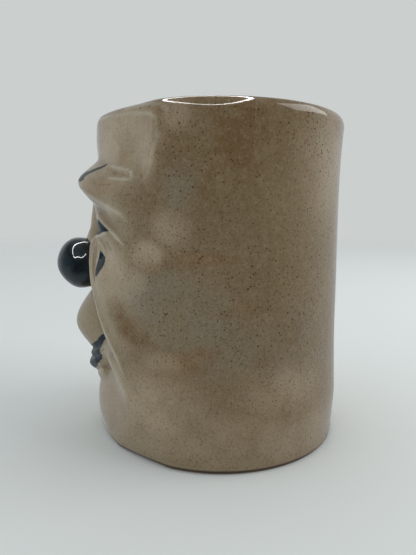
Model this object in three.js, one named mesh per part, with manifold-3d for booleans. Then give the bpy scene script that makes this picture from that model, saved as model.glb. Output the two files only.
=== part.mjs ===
// Face mug: a thrown stoneware cylinder with a modelled face, in millimetres.
// +Z is up, the face looks along -Y, and the origin is the middle of the base.

import * as THREE from 'three';
import { mergeVertices } from 'three/addons/utils/BufferGeometryUtils.js';
import Module from 'manifold-3d';

const wasm = await Module();
wasm.setup();

// Driving dimensions of the thrown body
const mugHeight = 108;
const rimRadius = 42.2;
const waistRadius = 40;
const footRadius = 41.8;
const wallThickness = 5;
const lipDrop = 3.4;
const footBevel = 0.9;
const footBevelRise = 2;

// The back stands fuller than the face side: by how much, from where round the
// wall, over what width it grows, and its fades above the foot and under the rim
const backFull = 1.65;
const backStart = 45;
const backGrowth = 55;
const backFootFade = 18;
const backRimStart = 104;
const backRimFade = 58;

// Floor disc, seated inside the foot of the wall
const floorThickness = 7;
const floorBevel = 0.8;

// Forehead: one flat pressed on each side of it. It starts under the brow, is
// full from flatFull to flatEase, and leaves a share of its depth in the rim.
const flatAngle = THREE.MathUtils.degToRad(41);
const flatDepth = 3.2;
const flatStart = 79;
const flatFull = 88;
const flatEase = 99;
const flatEnd = 105;
const flatRimShare = 0.8;
const flatEdgeRound = 0.5;
const flatReach = 1.2;

// Jaw: a shallower flat each side, deepest at the table and gone at jawEnd
const jawAngle = THREE.MathUtils.degToRad(53);
const jawDepth = 1.35;
const jawEnd = 30;
const jawEdgeRound = 0.4;

// Modelled face: how far each form stands out from the thrown body
const browHigh = 8.4;
const browTailHigh = 3;
const foreheadHigh = 1.5;
const bridgeTopHigh = 3.8;
const bridgeFootHigh = 8.9;
const lidFoldHigh = 3.8;
const eyelidHigh = 4.4;
const cheekHigh = 5.2;
const cheekboneHigh = 2.6;
const smileFoldHigh = 6.3;
const chinFoldHigh = 2.5;
const upperLipHigh = 12.4;
const lowerLipHigh = 7.3;
const chinHigh = 3.4;

// How far the upper lip is cut back under the line of the mouth
const mouthCut = 9;

// Forms melt into each other over blendRound, and thin by footThinning over the
// last faceFade above the table
const blendRound = 1.8;
const faceFade = 6;
const footThinning = 0.75;

// Nose ball and its seat
const ballRadius = 9.3;
const ballLevel = 58.3;

// Joints between clay pieces
const seam = 0.4;
const bedGap = 0.3;
const padEdge = 0.5;

// The face is laid out in millimetres around a wall of this radius and height,
// s along the wall from the centre line and z up from the base.
const layoutRadius = 41;
const layoutHeight = 108;
const stretch = mugHeight / layoutHeight;

// Mesh counts: degrees between the wall's columns, and steps over its lip
const frontStep = 4;
const backStep = 9;
const frontHalfAngle = 72;
const lipSteps = 6;
const ballAround = 24;
const ballUp = 16;

const glazedClay = new THREE.MeshStandardMaterial({ color: 0x9a8c78, roughness: 0.32, metalness: 0 });
const rawClay = new THREE.MeshStandardMaterial({ color: 0xa99a86, roughness: 0.8, metalness: 0 });
const darkGlaze = new THREE.MeshStandardMaterial({ color: 0x1d2a31, roughness: 0.12, metalness: 0 });

// Blending and bump shapes

function smoothStep(x) {
  const t = THREE.MathUtils.clamp(x, 0, 1);
  return t * t * (3 - 2 * t);
}

// The larger of two, rounded only where they are within soft of each other
function softMax(a, b, soft) {
  const near = Math.max(0, soft - Math.abs(a - b));
  return Math.max(a, b) + near ** 2 / (4 * soft);
}

function softMin(a, b, soft) {
  return 0.5 * (a + b - Math.hypot(a - b, soft));
}

// 1 at the middle, 0 where the squared distance is 1, and falling on outside it
function fall(distanceSquared, round) {
  const edge = Math.sqrt(1 + round * round);
  return (edge - Math.sqrt(distanceSquared + round * round)) / (edge - round);
}

// Oval mound, with its own reach towards the centre line, away from it, up and down
function mound(s, z, { at, inward, outward, up, down, tilt = 0, high, round }) {
  const turn = THREE.MathUtils.degToRad(tilt);
  const ds = s - at[0];
  const dz = z - at[1];
  const along = ds * Math.cos(turn) + dz * Math.sin(turn);
  const across = dz * Math.cos(turn) - ds * Math.sin(turn);
  const u = along / (along > 0 ? outward : inward);
  const v = across / (across > 0 ? up : down);
  return high * fall(u * u + v * v, round);
}

// Ridge along a broken line of [s, z, height, half width]
function ridge(s, z, line, round) {
  let best = -Infinity;
  for (let i = 0; i + 1 < line.length; i += 1) {
    const [s0, z0, h0, w0] = line[i];
    const [s1, z1, h1, w1] = line[i + 1];
    const es = s1 - s0;
    const ez = z1 - z0;
    const t = THREE.MathUtils.clamp(((s - s0) * es + (z - z0) * ez) / (es * es + ez * ez), 0, 1);
    const reach = Math.hypot(s - s0 - t * es, z - z0 - t * ez) / (w0 + t * (w1 - w0));
    best = Math.max(best, (h0 + t * (h1 - h0)) * fall(reach * reach, round));
  }
  return best;
}

// Thrown wall: narrowest at half height, flared to the rim and to the foot, and
// fuller at the back
function bodyRadius(s, z) {
  const t = z / (layoutHeight / 2) - 1;
  const flare = t > 0 ? rimRadius - waistRadius : footRadius - waistRadius;
  const behind = smoothStep((Math.abs(s) - backStart) / backGrowth);
  const middle = smoothStep(z / backFootFade) * smoothStep((backRimStart - z) / backRimFade);
  return waistRadius + flare * t * t + backFull * behind * middle;
}

// What a flat, pressed at an angle each side of the face, takes off a radius
function facet(s, radius, angle, plane, round) {
  const turn = THREE.MathUtils.clamp(Math.abs(s) / layoutRadius - angle, -flatReach, flatReach);
  return softMin(radius, plane / Math.cos(turn), round) - radius;
}

// The flats of the forehead, between the brow and the rim, and of the jaw
function flatPress(s, z) {
  const radius = bodyRadius(s, z);
  const start = smoothStep((z - flatStart) / (flatFull - flatStart));
  const end = smoothStep((z - flatEase) / (flatEnd - flatEase));
  const deep = start * (1 - (1 - flatRimShare) * end);
  const forehead = deep * facet(s, radius, flatAngle, rimRadius - flatDepth, flatEdgeRound);
  const low = 1 - smoothStep(z / jawEnd);
  return forehead + low * facet(s, radius, jawAngle, footRadius - jawDepth, jawEdgeRound);
}

function footCut(z) {
  return footBevel * Math.max(0, 1 - z / footBevelRise) ** 2;
}

function wallSurface(s, z) {
  return bodyRadius(s, z) + flatPress(s, z) - footCut(z);
}

// The face forms, each as its height over the thrown body at s, z

function brow(s, z) {
  const front = { at: [12, 86.4], inward: 13, outward: 22, up: 8, down: 10.4, tilt: -14 };
  return mound(s, z, { ...front, high: browHigh, round: 0.28 });
}

function browTail(s, z) {
  const tail = { at: [27, 80], inward: 18, outward: 13, up: 10, down: 10, tilt: -30 };
  return mound(s, z, { ...tail, high: browTailHigh, round: 0.6 });
}

function forehead(s, z) {
  const middle = { at: [0, 98], inward: 18, outward: 18, up: 9, down: 14 };
  return mound(s, z, { ...middle, high: foreheadHigh, round: 0.8 });
}

function bridge(s, z) {
  const line = [
    [0, 90, bridgeTopHigh, 8],
    [0, 80, 5.2, 7.2],
    [0, 75, 6.1, 7],
    [0, 71.5, 6.6, 7],
    [0, 66, bridgeFootHigh, 7.6],
  ];
  return ridge(s, z, line, 0.5);
}

function lidFold(s, z) {
  const line = [[12, 78, 3.4, 5], [19, 73, lidFoldHigh, 5.5], [27, 66.5, 2.8, 6], [34, 59.5, 1.2, 5]];
  return ridge(s, z, line, 0.5);
}

function eyelid(s, z) {
  const lid = { at: [17, 67], inward: 8, outward: 9, up: 8.5, down: 8.5, tilt: -30 };
  return mound(s, z, { ...lid, high: eyelidHigh, round: 0.8 });
}

function cheekPad(s, z) {
  const pad = { at: [12, 56], inward: 9, outward: 24, up: 15, down: 15 };
  return mound(s, z, { ...pad, high: cheekHigh, round: 0.7 });
}

function cheekbone(s, z) {
  const bone = { at: [30, 62], inward: 18, outward: 15, up: 10, down: 13, tilt: 10 };
  return mound(s, z, { ...bone, high: cheekboneHigh, round: 0.8 });
}

function smileFold(s, z) {
  const line = [
    [9.5, 66, 5.6, 6],
    [10.5, 60, smileFoldHigh, 6],
    [11.6, 53, 6, 6],
    [14.6, 46, 5.1, 5.8],
    [20.2, 38.6, 4.1, 5.6],
    [24.4, 34.6, 3.4, 5.4],
    [28.6, 30, 2.6, 5.2],
    [31.8, 25.4, 1.6, 5],
    [34.3, 20, 0.5, 5],
  ];
  return ridge(s, z, line, 0.35);
}

// Gentle side of the smile fold, down to the cheek
function cheekSlope(s, z) {
  const line = [
    [13.5, 60, 4.6, 14],
    [15, 52, 4.5, 13],
    [18.5, 45, 3.9, 12],
    [24, 38.4, 2.9, 11],
    [29, 33, 1.9, 9],
    [33, 27, 0.8, 8],
  ];
  return ridge(s, z, line, 0.7);
}

function chinFold(s, z) {
  const line = [
    [17.5, 31, 2, 3.2],
    [22, 29.2, chinFoldHigh, 3.4],
    [26, 26.2, 2.2, 3.6],
    [29.8, 22.6, 1.6, 3.8],
    [33, 18.4, 0.9, 4],
    [35, 13.5, 0.3, 4],
  ];
  return ridge(s, z, line, 0.5);
}

function upperLip(s, z) {
  const lip = { at: [0, 37.3], inward: 17, outward: 17, up: 20, down: 15.6 };
  const under = mouthCut * smoothStep((mouthLine(s) - z) / 2 + 0.2);
  return mound(s, z, { ...lip, high: upperLipHigh, round: 0.35 }) - under;
}

function lowerLip(s, z) {
  const middle = [
    [0, 22.4, lowerLipHigh, 5.2],
    [6, 23.2, 6.6, 5],
    [11, 25.6, 4.9, 4.4],
    [15.5, 29.5, 2.3, 3.8],
  ];
  const top = [[0, 25.6, 6.9, 4.4], [6, 26.5, 6.1, 4.2], [11, 28.6, 4.4, 3.5], [15.5, 31.5, 2, 3]];
  const foot = [[0, 18.4, 4.2, 3.8], [7, 19.2, 3.8, 3.6], [12, 22.3, 3, 3.2]];
  return Math.max(ridge(s, z, middle, 0.55), ridge(s, z, top, 0.6), ridge(s, z, foot, 0.6));
}

function chin(s, z) {
  const ball = { at: [0, 11.5], inward: 21, outward: 21, up: 15, down: 16 };
  return mound(s, z, { ...ball, high: chinHigh, round: 0.6 });
}

const faceForms = [
  brow,
  browTail,
  bridge,
  lidFold,
  eyelid,
  cheekPad,
  cheekbone,
  smileFold,
  cheekSlope,
  chinFold,
  upperLip,
  lowerLip,
  chin,
  forehead,
];

// Outside of the finished face: every form melted into its neighbours
function faceSurface(s, z) {
  const m = Math.abs(s);
  const press = flatPress(s, z);
  const high = faceForms.reduce((top, form) => softMax(top, form(m, z), blendRound), press);
  const share = 1 - footThinning * Math.max(0, 1 - z / faceFade) ** 2;
  return bodyRadius(s, z) + press + (high - press) * share - footCut(z);
}

// Closed solids

function onWall(s, z, radius) {
  const turn = s / layoutRadius;
  return [radius * Math.sin(turn), -radius * Math.cos(turn), z * stretch];
}

function geometryOf(points, triangles) {
  const geometry = new THREE.BufferGeometry();
  geometry.setAttribute('position', new THREE.Float32BufferAttribute(points.flat(), 3));
  geometry.setIndex(triangles.flat());
  return geometry;
}

function toManifold(geometry) {
  const bare = geometry.clone();
  bare.deleteAttribute('normal');
  bare.deleteAttribute('uv');
  const merged = mergeVertices(bare, 1e-5);
  const vertProperties = new Float32Array(merged.attributes.position.array);
  const triVerts = new Uint32Array(merged.index.array);
  return new wasm.Manifold(new wasm.Mesh({ numProp: 3, vertProperties, triVerts }));
}

function fromManifold(solid) {
  const { vertProperties, triVerts } = solid.getMesh();
  const geometry = new THREE.BufferGeometry();
  geometry.setAttribute('position', new THREE.BufferAttribute(new Float32Array(vertProperties), 3));
  geometry.setIndex(new THREE.BufferAttribute(new Uint32Array(triVerts), 1));
  return geometry;
}

function makeMesh(name, geometry, material) {
  geometry.computeVertexNormals();
  const mesh = new THREE.Mesh(geometry, material);
  mesh.name = name;
  return mesh;
}

// Columns round the wall: close together on the face, wider at the back
function wallColumns() {
  const columns = [];
  for (let angle = -frontHalfAngle; angle < frontHalfAngle; angle += frontStep) {
    columns.push(angle);
  }
  for (let angle = frontHalfAngle; angle < 360 - frontHalfAngle; angle += backStep) {
    columns.push(angle > 180 ? angle - 360 : angle);
  }
  return columns.map((angle) => THREE.MathUtils.degToRad(angle) * layoutRadius);
}

// Evenly spaced values from a to b, without b
function span(a, b, steps) {
  return Array.from({ length: steps }, (_, i) => a + ((b - a) * i) / steps);
}

// One column of the wall: up the outside, over the rounded lip, down the bore
// and across the flat foot
function wallColumn(s) {
  const lipBase = layoutHeight - lipDrop / stretch;
  const levels = [
    ...span(0, footBevelRise, 2),
    ...span(footBevelRise, flatStart, 10),
    ...span(flatStart, flatFull, 5),
    ...span(flatFull, lipBase, 7),
    lipBase,
  ];
  const outside = levels.map((z) => [wallSurface(s, z), z]);
  const half = wallThickness / 2;
  const crown = wallSurface(s, lipBase) - half;
  const lip = span(0, Math.PI, lipSteps).slice(1).map((turn) => [
    crown + half * Math.cos(turn),
    lipBase + (lipDrop / stretch) * Math.sin(turn),
  ]);
  const depths = [...span(lipBase, flatStart, 6), ...span(flatStart, 0, 6), 0];
  const bore = depths.map((z) => [boreRadius(s, z), z]);
  return [...outside, ...lip, ...bore];
}

function boreRadius(s, z) {
  return bodyRadius(s, z) + flatPress(s, z) - wallThickness;
}

function wall() {
  const columns = wallColumns();
  const rings = columns.map((s) => wallColumn(s).map(([radius, z]) => onWall(s, z, radius)));
  const count = rings[0].length;
  const triangles = [];
  for (let i = 0; i < rings.length; i += 1) {
    const here = i * count;
    const next = ((i + 1) % rings.length) * count;
    for (let j = 0; j < count; j += 1) {
      const k = (j + 1) % count;
      triangles.push([here + j, next + j, next + k], [here + j, next + k, here + k]);
    }
  }
  return makeMesh('wall', geometryOf(rings.flat(), triangles), glazedClay);
}

// One column of the floor: out along the underside, over the bevel, up beside
// the bore and back along the top
function floorColumn(s) {
  const foot = boreRadius(s, 0) - bedGap;
  const top = boreRadius(s, floorThickness) - 2 * bedGap;
  return [
    [0, 0],
    [foot - floorBevel, 0],
    [foot - floorBevel / 4, floorBevel / 3],
    [foot - bedGap, floorBevel],
    [top, floorThickness],
    [0, floorThickness],
  ];
}

function floorDisc() {
  const rings = wallColumns().map((s) => {
    return floorColumn(s).map(([radius, z]) => onWall(s, z / stretch, radius));
  });
  const count = rings[0].length;
  const triangles = [];
  for (let i = 0; i < rings.length; i += 1) {
    const here = i * count;
    const next = ((i + 1) % rings.length) * count;
    for (let j = 0; j + 1 < count; j += 1) {
      triangles.push([here + j, next + j, next + j + 1], [here + j, next + j + 1, here + j + 1]);
    }
  }
  const disc = geometryOf(rings.flat(), triangles);
  return makeMesh('floor', fromManifold(toManifold(disc)), rawClay);
}

// Layout of the pads, in layout millimetres for the +X side of the face

const jawLevel = 4;
const cheekTopLevel = 67;
const cheekFootEnd = 36;
const bridgeHalfWidth = 7.5;
const foldStart = 57;
const foldSpread = 24;
const foldBend = 1.2;
const eyeOuter = 34;
const browEnd = [41.5, 78];
const mouthMiddle = 26.4;
const mouthCorner = 33.2;
const lipFootMiddle = 17;
const lipFootCorner = 26.5;

// Crease that parts the cheek from the nose, lips and chin
function foldAt(z) {
  const drop = Math.max(0, foldStart - z) / (foldStart - jawLevel);
  return bridgeHalfWidth + foldSpread * drop ** foldBend;
}

// Levels of the lines that cross the face
function mouthLine(s) {
  return mouthMiddle + (mouthCorner - mouthMiddle) * (s / foldAt(mouthCorner)) ** 2;
}

function lipFoot(s) {
  return lipFootMiddle + (lipFootCorner - lipFootMiddle) * (s / foldAt(lipFootCorner)) ** 2;
}

function browFoot(s) {
  return 79.4 - 14.4 * (Math.abs(s) / 38) ** 2.6;
}

function lidFoot(s) {
  const t = (s - bridgeHalfWidth) / (eyeOuter - bridgeHalfWidth);
  return cheekTopLevel - 3 * t - 3 * Math.sin(Math.PI * t);
}

// Outlines, each a point for t from 0 to 1

function spline(...points) {
  const line = new THREE.SplineCurve(points.map(([s, z]) => new THREE.Vector2(s, z)));
  return (t) => line.getPoint(t);
}

function across(from, to, level) {
  return (t) => {
    const s = from + t * (to - from);
    return new THREE.Vector2(s, level(s));
  };
}

function alongFold(low, high, side = 1) {
  return (t) => {
    const z = low + t * (high - low);
    return new THREE.Vector2(side * foldAt(z), z);
  };
}

function straight(from, to) {
  return (t) => new THREE.Vector2().lerpVectors(from, to, t);
}

// Ends a side outline on two others, straight between them
function join(bottom, top, end) {
  return straight(bottom(end), top(end));
}

function browSides() {
  const bottom = across(0, eyeOuter, browFoot);
  const top = spline([0, 94], [14, 94], [27, 91.5], [36, 86.5], browEnd);
  return { bottom, top, left: join(bottom, top, 0), right: join(bottom, top, 1) };
}

function eyelidSides() {
  const bottom = across(bridgeHalfWidth, eyeOuter, lidFoot);
  const top = across(bridgeHalfWidth, eyeOuter, browFoot);
  return { bottom, top, left: join(bottom, top, 0), right: join(bottom, top, 1) };
}

function cheekSides() {
  const bottom = across(foldAt(jawLevel), cheekFootEnd, () => jawLevel);
  const top = across(bridgeHalfWidth, eyeOuter, lidFoot);
  const temple = [eyeOuter, lidFoot(eyeOuter)];
  const right = spline([cheekFootEnd, jawLevel], [38, 20], [39, 35], [45, 48], [44, 60], temple);
  return { bottom, top, left: alongFold(jawLevel, cheekTopLevel), right };
}

function bridgeSides() {
  const bottom = across(-bridgeHalfWidth, bridgeHalfWidth, () => ballLevel);
  const top = across(-bridgeHalfWidth, bridgeHalfWidth, browFoot);
  return { bottom, top, left: join(bottom, top, 0), right: join(bottom, top, 1) };
}

// A pad between the two folds, from one crossing line to another
function middleSides(bottomLevel, low, topLevel, high) {
  return {
    bottom: across(-foldAt(low), foldAt(low), bottomLevel),
    top: across(-foldAt(high), foldAt(high), topLevel),
    left: alongFold(low, high, -1),
    right: alongFold(low, high),
  };
}

// Four-sided patch between its outlines
function patchPoint({ bottom, top, left, right }, u, v) {
  const point = new THREE.Vector2();
  point.addScaledVector(bottom(u), 1 - v).addScaledVector(top(u), v);
  point.addScaledVector(left(v), 1 - u).addScaledVector(right(v), u);
  point.addScaledVector(bottom(0), -(1 - u) * (1 - v)).addScaledVector(bottom(1), -u * (1 - v));
  return point.addScaledVector(top(0), -(1 - u) * v).addScaledVector(top(1), -u * v);
}

// Grid of layout points on the patch, its rim drawn in by half a seam
function patchGrid(sides, columns, rows) {
  const grid = [];
  for (let i = 0; i <= columns; i += 1) {
    for (let j = 0; j <= rows; j += 1) {
      const point = patchPoint(sides, i / columns, j / rows);
      const inner = [THREE.MathUtils.clamp(i, 1, columns - 1), THREE.MathUtils.clamp(j, 1, rows - 1)];
      const way = new THREE.Vector2();
      if (inner[0] !== i) {
        way.add(patchPoint(sides, inner[0] / columns, j / rows).sub(point).setLength(seam / 2));
      }
      if (inner[1] !== j) {
        way.add(patchPoint(sides, i / columns, inner[1] / rows).sub(point).setLength(seam / 2));
      }
      grid.push(point.add(way));
    }
  }
  return grid;
}

// Grid edges round a patch, in order
function patchRim(columns, rows, at) {
  const loop = [
    ...span(0, columns, columns).map((i) => at(i, 0)),
    ...span(0, rows, rows).map((j) => at(columns, j)),
    ...span(columns, 0, columns).map((i) => at(i, rows)),
    ...span(rows, 0, rows).map((j) => at(0, j)),
  ];
  return loop.map((a, i) => [a, loop[(i + 1) % loop.length]]);
}

// A pad of clay: its bed follows the wall, its top follows the face
function padGeometry(sides, columns, rows) {
  const grid = patchGrid(sides, columns, rows);
  const bed = grid.map(({ x, y }) => onWall(x, y, wallSurface(x, y) + bedGap));
  const top = grid.map(({ x, y }) => {
    const lowest = wallSurface(x, y) + bedGap + padEdge;
    return onWall(x, y, Math.max(faceSurface(x, y), lowest));
  });
  const count = grid.length;
  const at = (i, j) => i * (rows + 1) + j;
  const triangles = [];
  for (let i = 0; i < columns; i += 1) {
    for (let j = 0; j < rows; j += 1) {
      const [a, b, c, d] = [at(i, j), at(i + 1, j), at(i + 1, j + 1), at(i, j + 1)];
      triangles.push([a + count, b + count, c + count], [a + count, c + count, d + count]);
      triangles.push([a, c, b], [a, d, c]);
    }
  }
  for (const [a, b] of patchRim(columns, rows, at)) {
    triangles.push([a, b, b + count], [a, b + count, a + count]);
  }
  return geometryOf([...bed, ...top], triangles);
}

// The same piece on the other side of the face
function mirrorGeometry(geometry) {
  const turned = geometry.clone();
  const place = turned.attributes.position;
  for (let i = 0; i < place.count; i += 1) {
    place.setX(i, -place.getX(i));
  }
  turned.index.array.reverse();
  return turned;
}

// Nose ball: it rests on the wall, and the clay round it is hollowed to take it
function ballGeometry(radius) {
  const ball = new THREE.SphereGeometry(radius, ballAround, ballUp);
  const out = wallSurface(0, ballLevel) + bedGap + ballRadius;
  return ball.translate(...onWall(0, ballLevel, out));
}

function seatBall(geometry) {
  const hollow = toManifold(ballGeometry(ballRadius + bedGap));
  return fromManifold(toManifold(geometry).subtract(hollow));
}

// The mug

const mug = new THREE.Group();

function addPiece(name, geometry, material = glazedClay) {
  mug.add(makeMesh(name, geometry, material));
}

function addPair(name, geometry) {
  addPiece(`${name}_left`, geometry);
  addPiece(`${name}_right`, mirrorGeometry(geometry));
}

mug.add(wall());
mug.add(floorDisc());
addPiece('nose_ball', fromManifold(toManifold(ballGeometry(ballRadius))), darkGlaze);
addPiece('nose_bridge', seatBall(padGeometry(bridgeSides(), 8, 10)));
addPair('brow', padGeometry(browSides(), 14, 9));
addPair('eyelid', padGeometry(eyelidSides(), 10, 5));
addPair('cheek', seatBall(padGeometry(cheekSides(), 10, 20)));
const upperLipSides = middleSides(mouthLine, mouthCorner, () => ballLevel, ballLevel);
addPiece('upper_lip', seatBall(padGeometry(upperLipSides, 14, 10)));
const lowerLipSides = middleSides(lipFoot, lipFootCorner, mouthLine, mouthCorner);
addPiece('lower_lip', padGeometry(lowerLipSides, 14, 4));
const chinSides = middleSides(() => jawLevel, jawLevel, lipFoot, lipFootCorner);
addPiece('chin', padGeometry(chinSides, 14, 8));

export default mug;
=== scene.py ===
"""Face mug: speckled stoneware with a modelled clown face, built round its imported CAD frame.

Lengths in the form functions are millimetres, s along the wall from the face's centre line
(positive on the face's own left, +X) and z up from the table. Meshes are written in metres.
"""
import math

import bpy
import numpy as np
from mathutils import Matrix, Vector

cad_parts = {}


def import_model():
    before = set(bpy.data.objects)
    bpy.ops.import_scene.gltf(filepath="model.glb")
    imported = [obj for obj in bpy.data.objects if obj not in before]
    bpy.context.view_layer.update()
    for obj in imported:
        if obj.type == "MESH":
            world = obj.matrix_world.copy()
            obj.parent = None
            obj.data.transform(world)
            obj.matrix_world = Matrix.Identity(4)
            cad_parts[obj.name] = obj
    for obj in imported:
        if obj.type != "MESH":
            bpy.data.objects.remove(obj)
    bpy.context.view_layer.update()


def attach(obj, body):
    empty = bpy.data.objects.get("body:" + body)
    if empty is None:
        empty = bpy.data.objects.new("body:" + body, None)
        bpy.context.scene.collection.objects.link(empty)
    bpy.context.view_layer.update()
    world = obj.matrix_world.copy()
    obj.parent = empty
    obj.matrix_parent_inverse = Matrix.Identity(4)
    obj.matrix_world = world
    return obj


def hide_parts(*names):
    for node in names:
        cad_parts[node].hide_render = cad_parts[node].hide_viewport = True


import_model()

MM = 0.001

# Thrown body, as in the CAD
MUG_HEIGHT = 108.0
RIM_RADIUS = 42.2
WAIST_RADIUS = 40.0
FOOT_RADIUS = 41.8
BACK_FULL = 1.65
BACK_START, BACK_SPREAD = 45, 55
BACK_LOW_FADE = 18
BACK_HIGH_END, BACK_HIGH_FADE = 104, 58
FOREHEAD_ANGLE, FOREHEAD_PRESS = 41, 3.2
JAW_ANGLE, JAW_PRESS = 53, 1.35
WALL = 5.0
LIP_DROP = 3.4
FOOT_BEVEL = 0.9
FOOT_RISE = 2.0
FLOOR_TOP = 7.0
LAYOUT_RADIUS = 41.0
HALF_TURN = math.pi * LAYOUT_RADIUS

# Nose ball
BALL_RADIUS = 9.3
BALL_LEVEL = 58.3
BALL_GAP = 0.3

# Face: how widely its forms melt together, how far round its lines reach, how far round the wall's grid is
# fine, and the depth of the hollows
BLEND = 1.8
FACE_REACH = 60
FINE_TO = 54
MOUTH_MIDDLE = 26.4
POCKET_DEEP = 0.35
PUPIL_DEEP = 1.3

# The finished outside stays this far within the CAD's
INSET = 0.012

# How far the wall lies beneath the pads at their borders, and the least thickness of a pad
SINK = 0.03
PAD_EDGE = 0.4

# Throwing rings of the inside
RING_DEEP = 0.22
RING_RISE = 7.6

# Unglazed foot: its chamfers, and the level up to which it is bare
EDGE_CUT = 0.35
BARE_LEVEL = 0.45

# Distance that stands for no paint near a point
NO_PAINT = -3.0


# Shapes that the forms are made of

def step(x):
    """Smooth step from 0 to 1."""
    x = np.clip(x, 0, 1)
    return x * x * (3 - 2 * x)


def soft_max(a, b, soft):
    """The larger of two heights, raised a little where they meet."""
    return np.maximum(a, b) + np.clip(soft - np.abs(a - b), 0, None) ** 2 / (4 * soft)


def soft_min(a, b, soft):
    """The smaller of two radii, with a rounded edge where they meet."""
    return 0.5 * (a + b - np.hypot(a - b, soft))


def fall(distance_squared, soft):
    """1 in the middle of a form, 0 at its edge and less beyond; a larger soft rounds its top more."""
    edge = math.sqrt(1 + soft * soft)
    return (edge - np.sqrt(distance_squared + soft * soft)) / (edge - soft)


def mound(s, z, at, inward, outward, up, down, tilt, high, soft):
    """Height of a mound round a point, with a reach of its own to each side."""
    turn = math.radians(tilt)
    ds, dz = s - at[0], z - at[1]
    u = ds * math.cos(turn) + dz * math.sin(turn)
    v = dz * math.cos(turn) - ds * math.sin(turn)
    u = u / np.where(u > 0, outward, inward)
    v = v / np.where(v > 0, up, down)
    return high * fall(u * u + v * v, soft)


def ridge(s, z, line, soft):
    """Height of a ridge along a broken line, each point with its height and half width."""
    best = np.full(np.broadcast(s, z).shape, -99.0)
    for (s0, z0, h0, w0), (s1, z1, h1, w1) in zip(line, line[1:]):
        es, ez = s1 - s0, z1 - z0
        t = np.clip(((s - s0) * es + (z - z0) * ez) / max(es * es + ez * ez, 1e-9), 0, 1)
        reach = np.hypot(s - s0 - t * es, z - z0 - t * ez) / (w0 + t * (w1 - w0))
        best = np.maximum(best, (h0 + t * (h1 - h0)) * fall(reach * reach, soft))
    return best


def line_distance(s, z, line):
    """Distance from each point to a broken line, and how far along it the nearest point is, 0 to 1."""
    line = np.array(line, float)
    length = np.hypot(*np.diff(line, axis=0).T)
    before = np.concatenate([[0], np.cumsum(length)])
    best = np.full(np.broadcast(s, z).shape, 1e9)
    along = np.zeros(best.shape)
    for k, ((s0, z0), (s1, z1)) in enumerate(zip(line[:-1], line[1:])):
        es, ez = s1 - s0, z1 - z0
        t = np.clip(((s - s0) * es + (z - z0) * ez) / max(es * es + ez * ez, 1e-9), 0, 1)
        d = np.hypot(s - s0 - t * es, z - z0 - t * ez)
        along = np.where(d < best, (before[k] + t * length[k]) / before[-1], along)
        best = np.minimum(best, d)
    return best, along


def inside_distance(s, z, polygon):
    """Distance to a closed outline, positive inside it."""
    loop = np.array(list(polygon) + [polygon[0]], float)
    distance, _ = line_distance(s, z, loop)
    inside = np.zeros(distance.shape, bool)
    for (s0, z0), (s1, z1) in zip(loop[:-1], loop[1:]):
        if z0 != z1:
            inside ^= ((z0 > z) != (z1 > z)) & (s < (s1 - s0) * (z - z0) / (z1 - z0) + s0)
    return np.where(inside, distance, -distance)


# Thrown wall and the modelled face

def body_radius(s, z):
    """The thrown wall's outside: a little waisted, and fuller at the back."""
    t = z / (MUG_HEIGHT / 2) - 1
    flare = np.where(t > 0, RIM_RADIUS - WAIST_RADIUS, FOOT_RADIUS - WAIST_RADIUS)
    back = BACK_FULL * step((np.abs(s) - BACK_START) / BACK_SPREAD)
    back = back * step(z / BACK_LOW_FADE) * step((BACK_HIGH_END - z) / BACK_HIGH_FADE)
    return WAIST_RADIUS + flare * t * t + back


def facet(s, radius, middle_deg, plane, soft):
    """How much a flat pressed at an angle each side of the face takes off a radius."""
    turn = np.clip(np.abs(s) / LAYOUT_RADIUS - math.radians(middle_deg), -1.2, 1.2)
    return soft_min(radius, plane / np.cos(turn), soft) - radius


def flat_press(s, z):
    """What the flats at the forehead and at the jaw take off the radius."""
    radius = body_radius(s, z)
    deep = step((z - 79) / 9) * (1 - 0.2 * step((z - 99) / 6))
    forehead = deep * facet(s, radius, FOREHEAD_ANGLE, RIM_RADIUS - FOREHEAD_PRESS, 0.5)
    jaw = (1 - step(z / 30)) * facet(s, radius, JAW_ANGLE, FOOT_RADIUS - JAW_PRESS, 0.4)
    return forehead + jaw


def foot_cut(z):
    return FOOT_BEVEL * np.clip(1 - z / FOOT_RISE, 0, 1) ** 2


def wall_surface(s, z):
    """Radius of the wall on which the face's clay lies."""
    return body_radius(s, z) + flat_press(s, z) - foot_cut(z)


# Smile fold, its gentle side towards the cheek, and the fold beside the chin: s, z, height, half width
FOLD = [(9.5, 66, 5.6, 6), (10.5, 60, 6.3, 6), (12, 53, 6.0, 6), (15.8, 46, 5.1, 5.8), (21.6, 38.8, 4.1, 5.6),
        (25.6, 34.8, 3.4, 5.4), (29.2, 30.2, 2.6, 5.2), (32, 25.4, 1.6, 5), (34.3, 20, 0.5, 5)]
CHEEK_SLOPE = [(13.5, 60, 4.6, 14), (15.4, 52, 4.5, 13), (19.7, 45, 3.9, 12), (25.2, 38.4, 2.9, 11),
               (29.6, 33, 1.9, 9), (33, 27, 0.8, 8)]
CHIN_FOLD = [(17.5, 31, 2.0, 3.2), (22, 29.2, 2.5, 3.4), (26, 26.2, 2.2, 3.6), (29.8, 22.6, 1.6, 3.8),
             (33, 18.4, 0.9, 4), (35, 13.5, 0.3, 4)]

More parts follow.
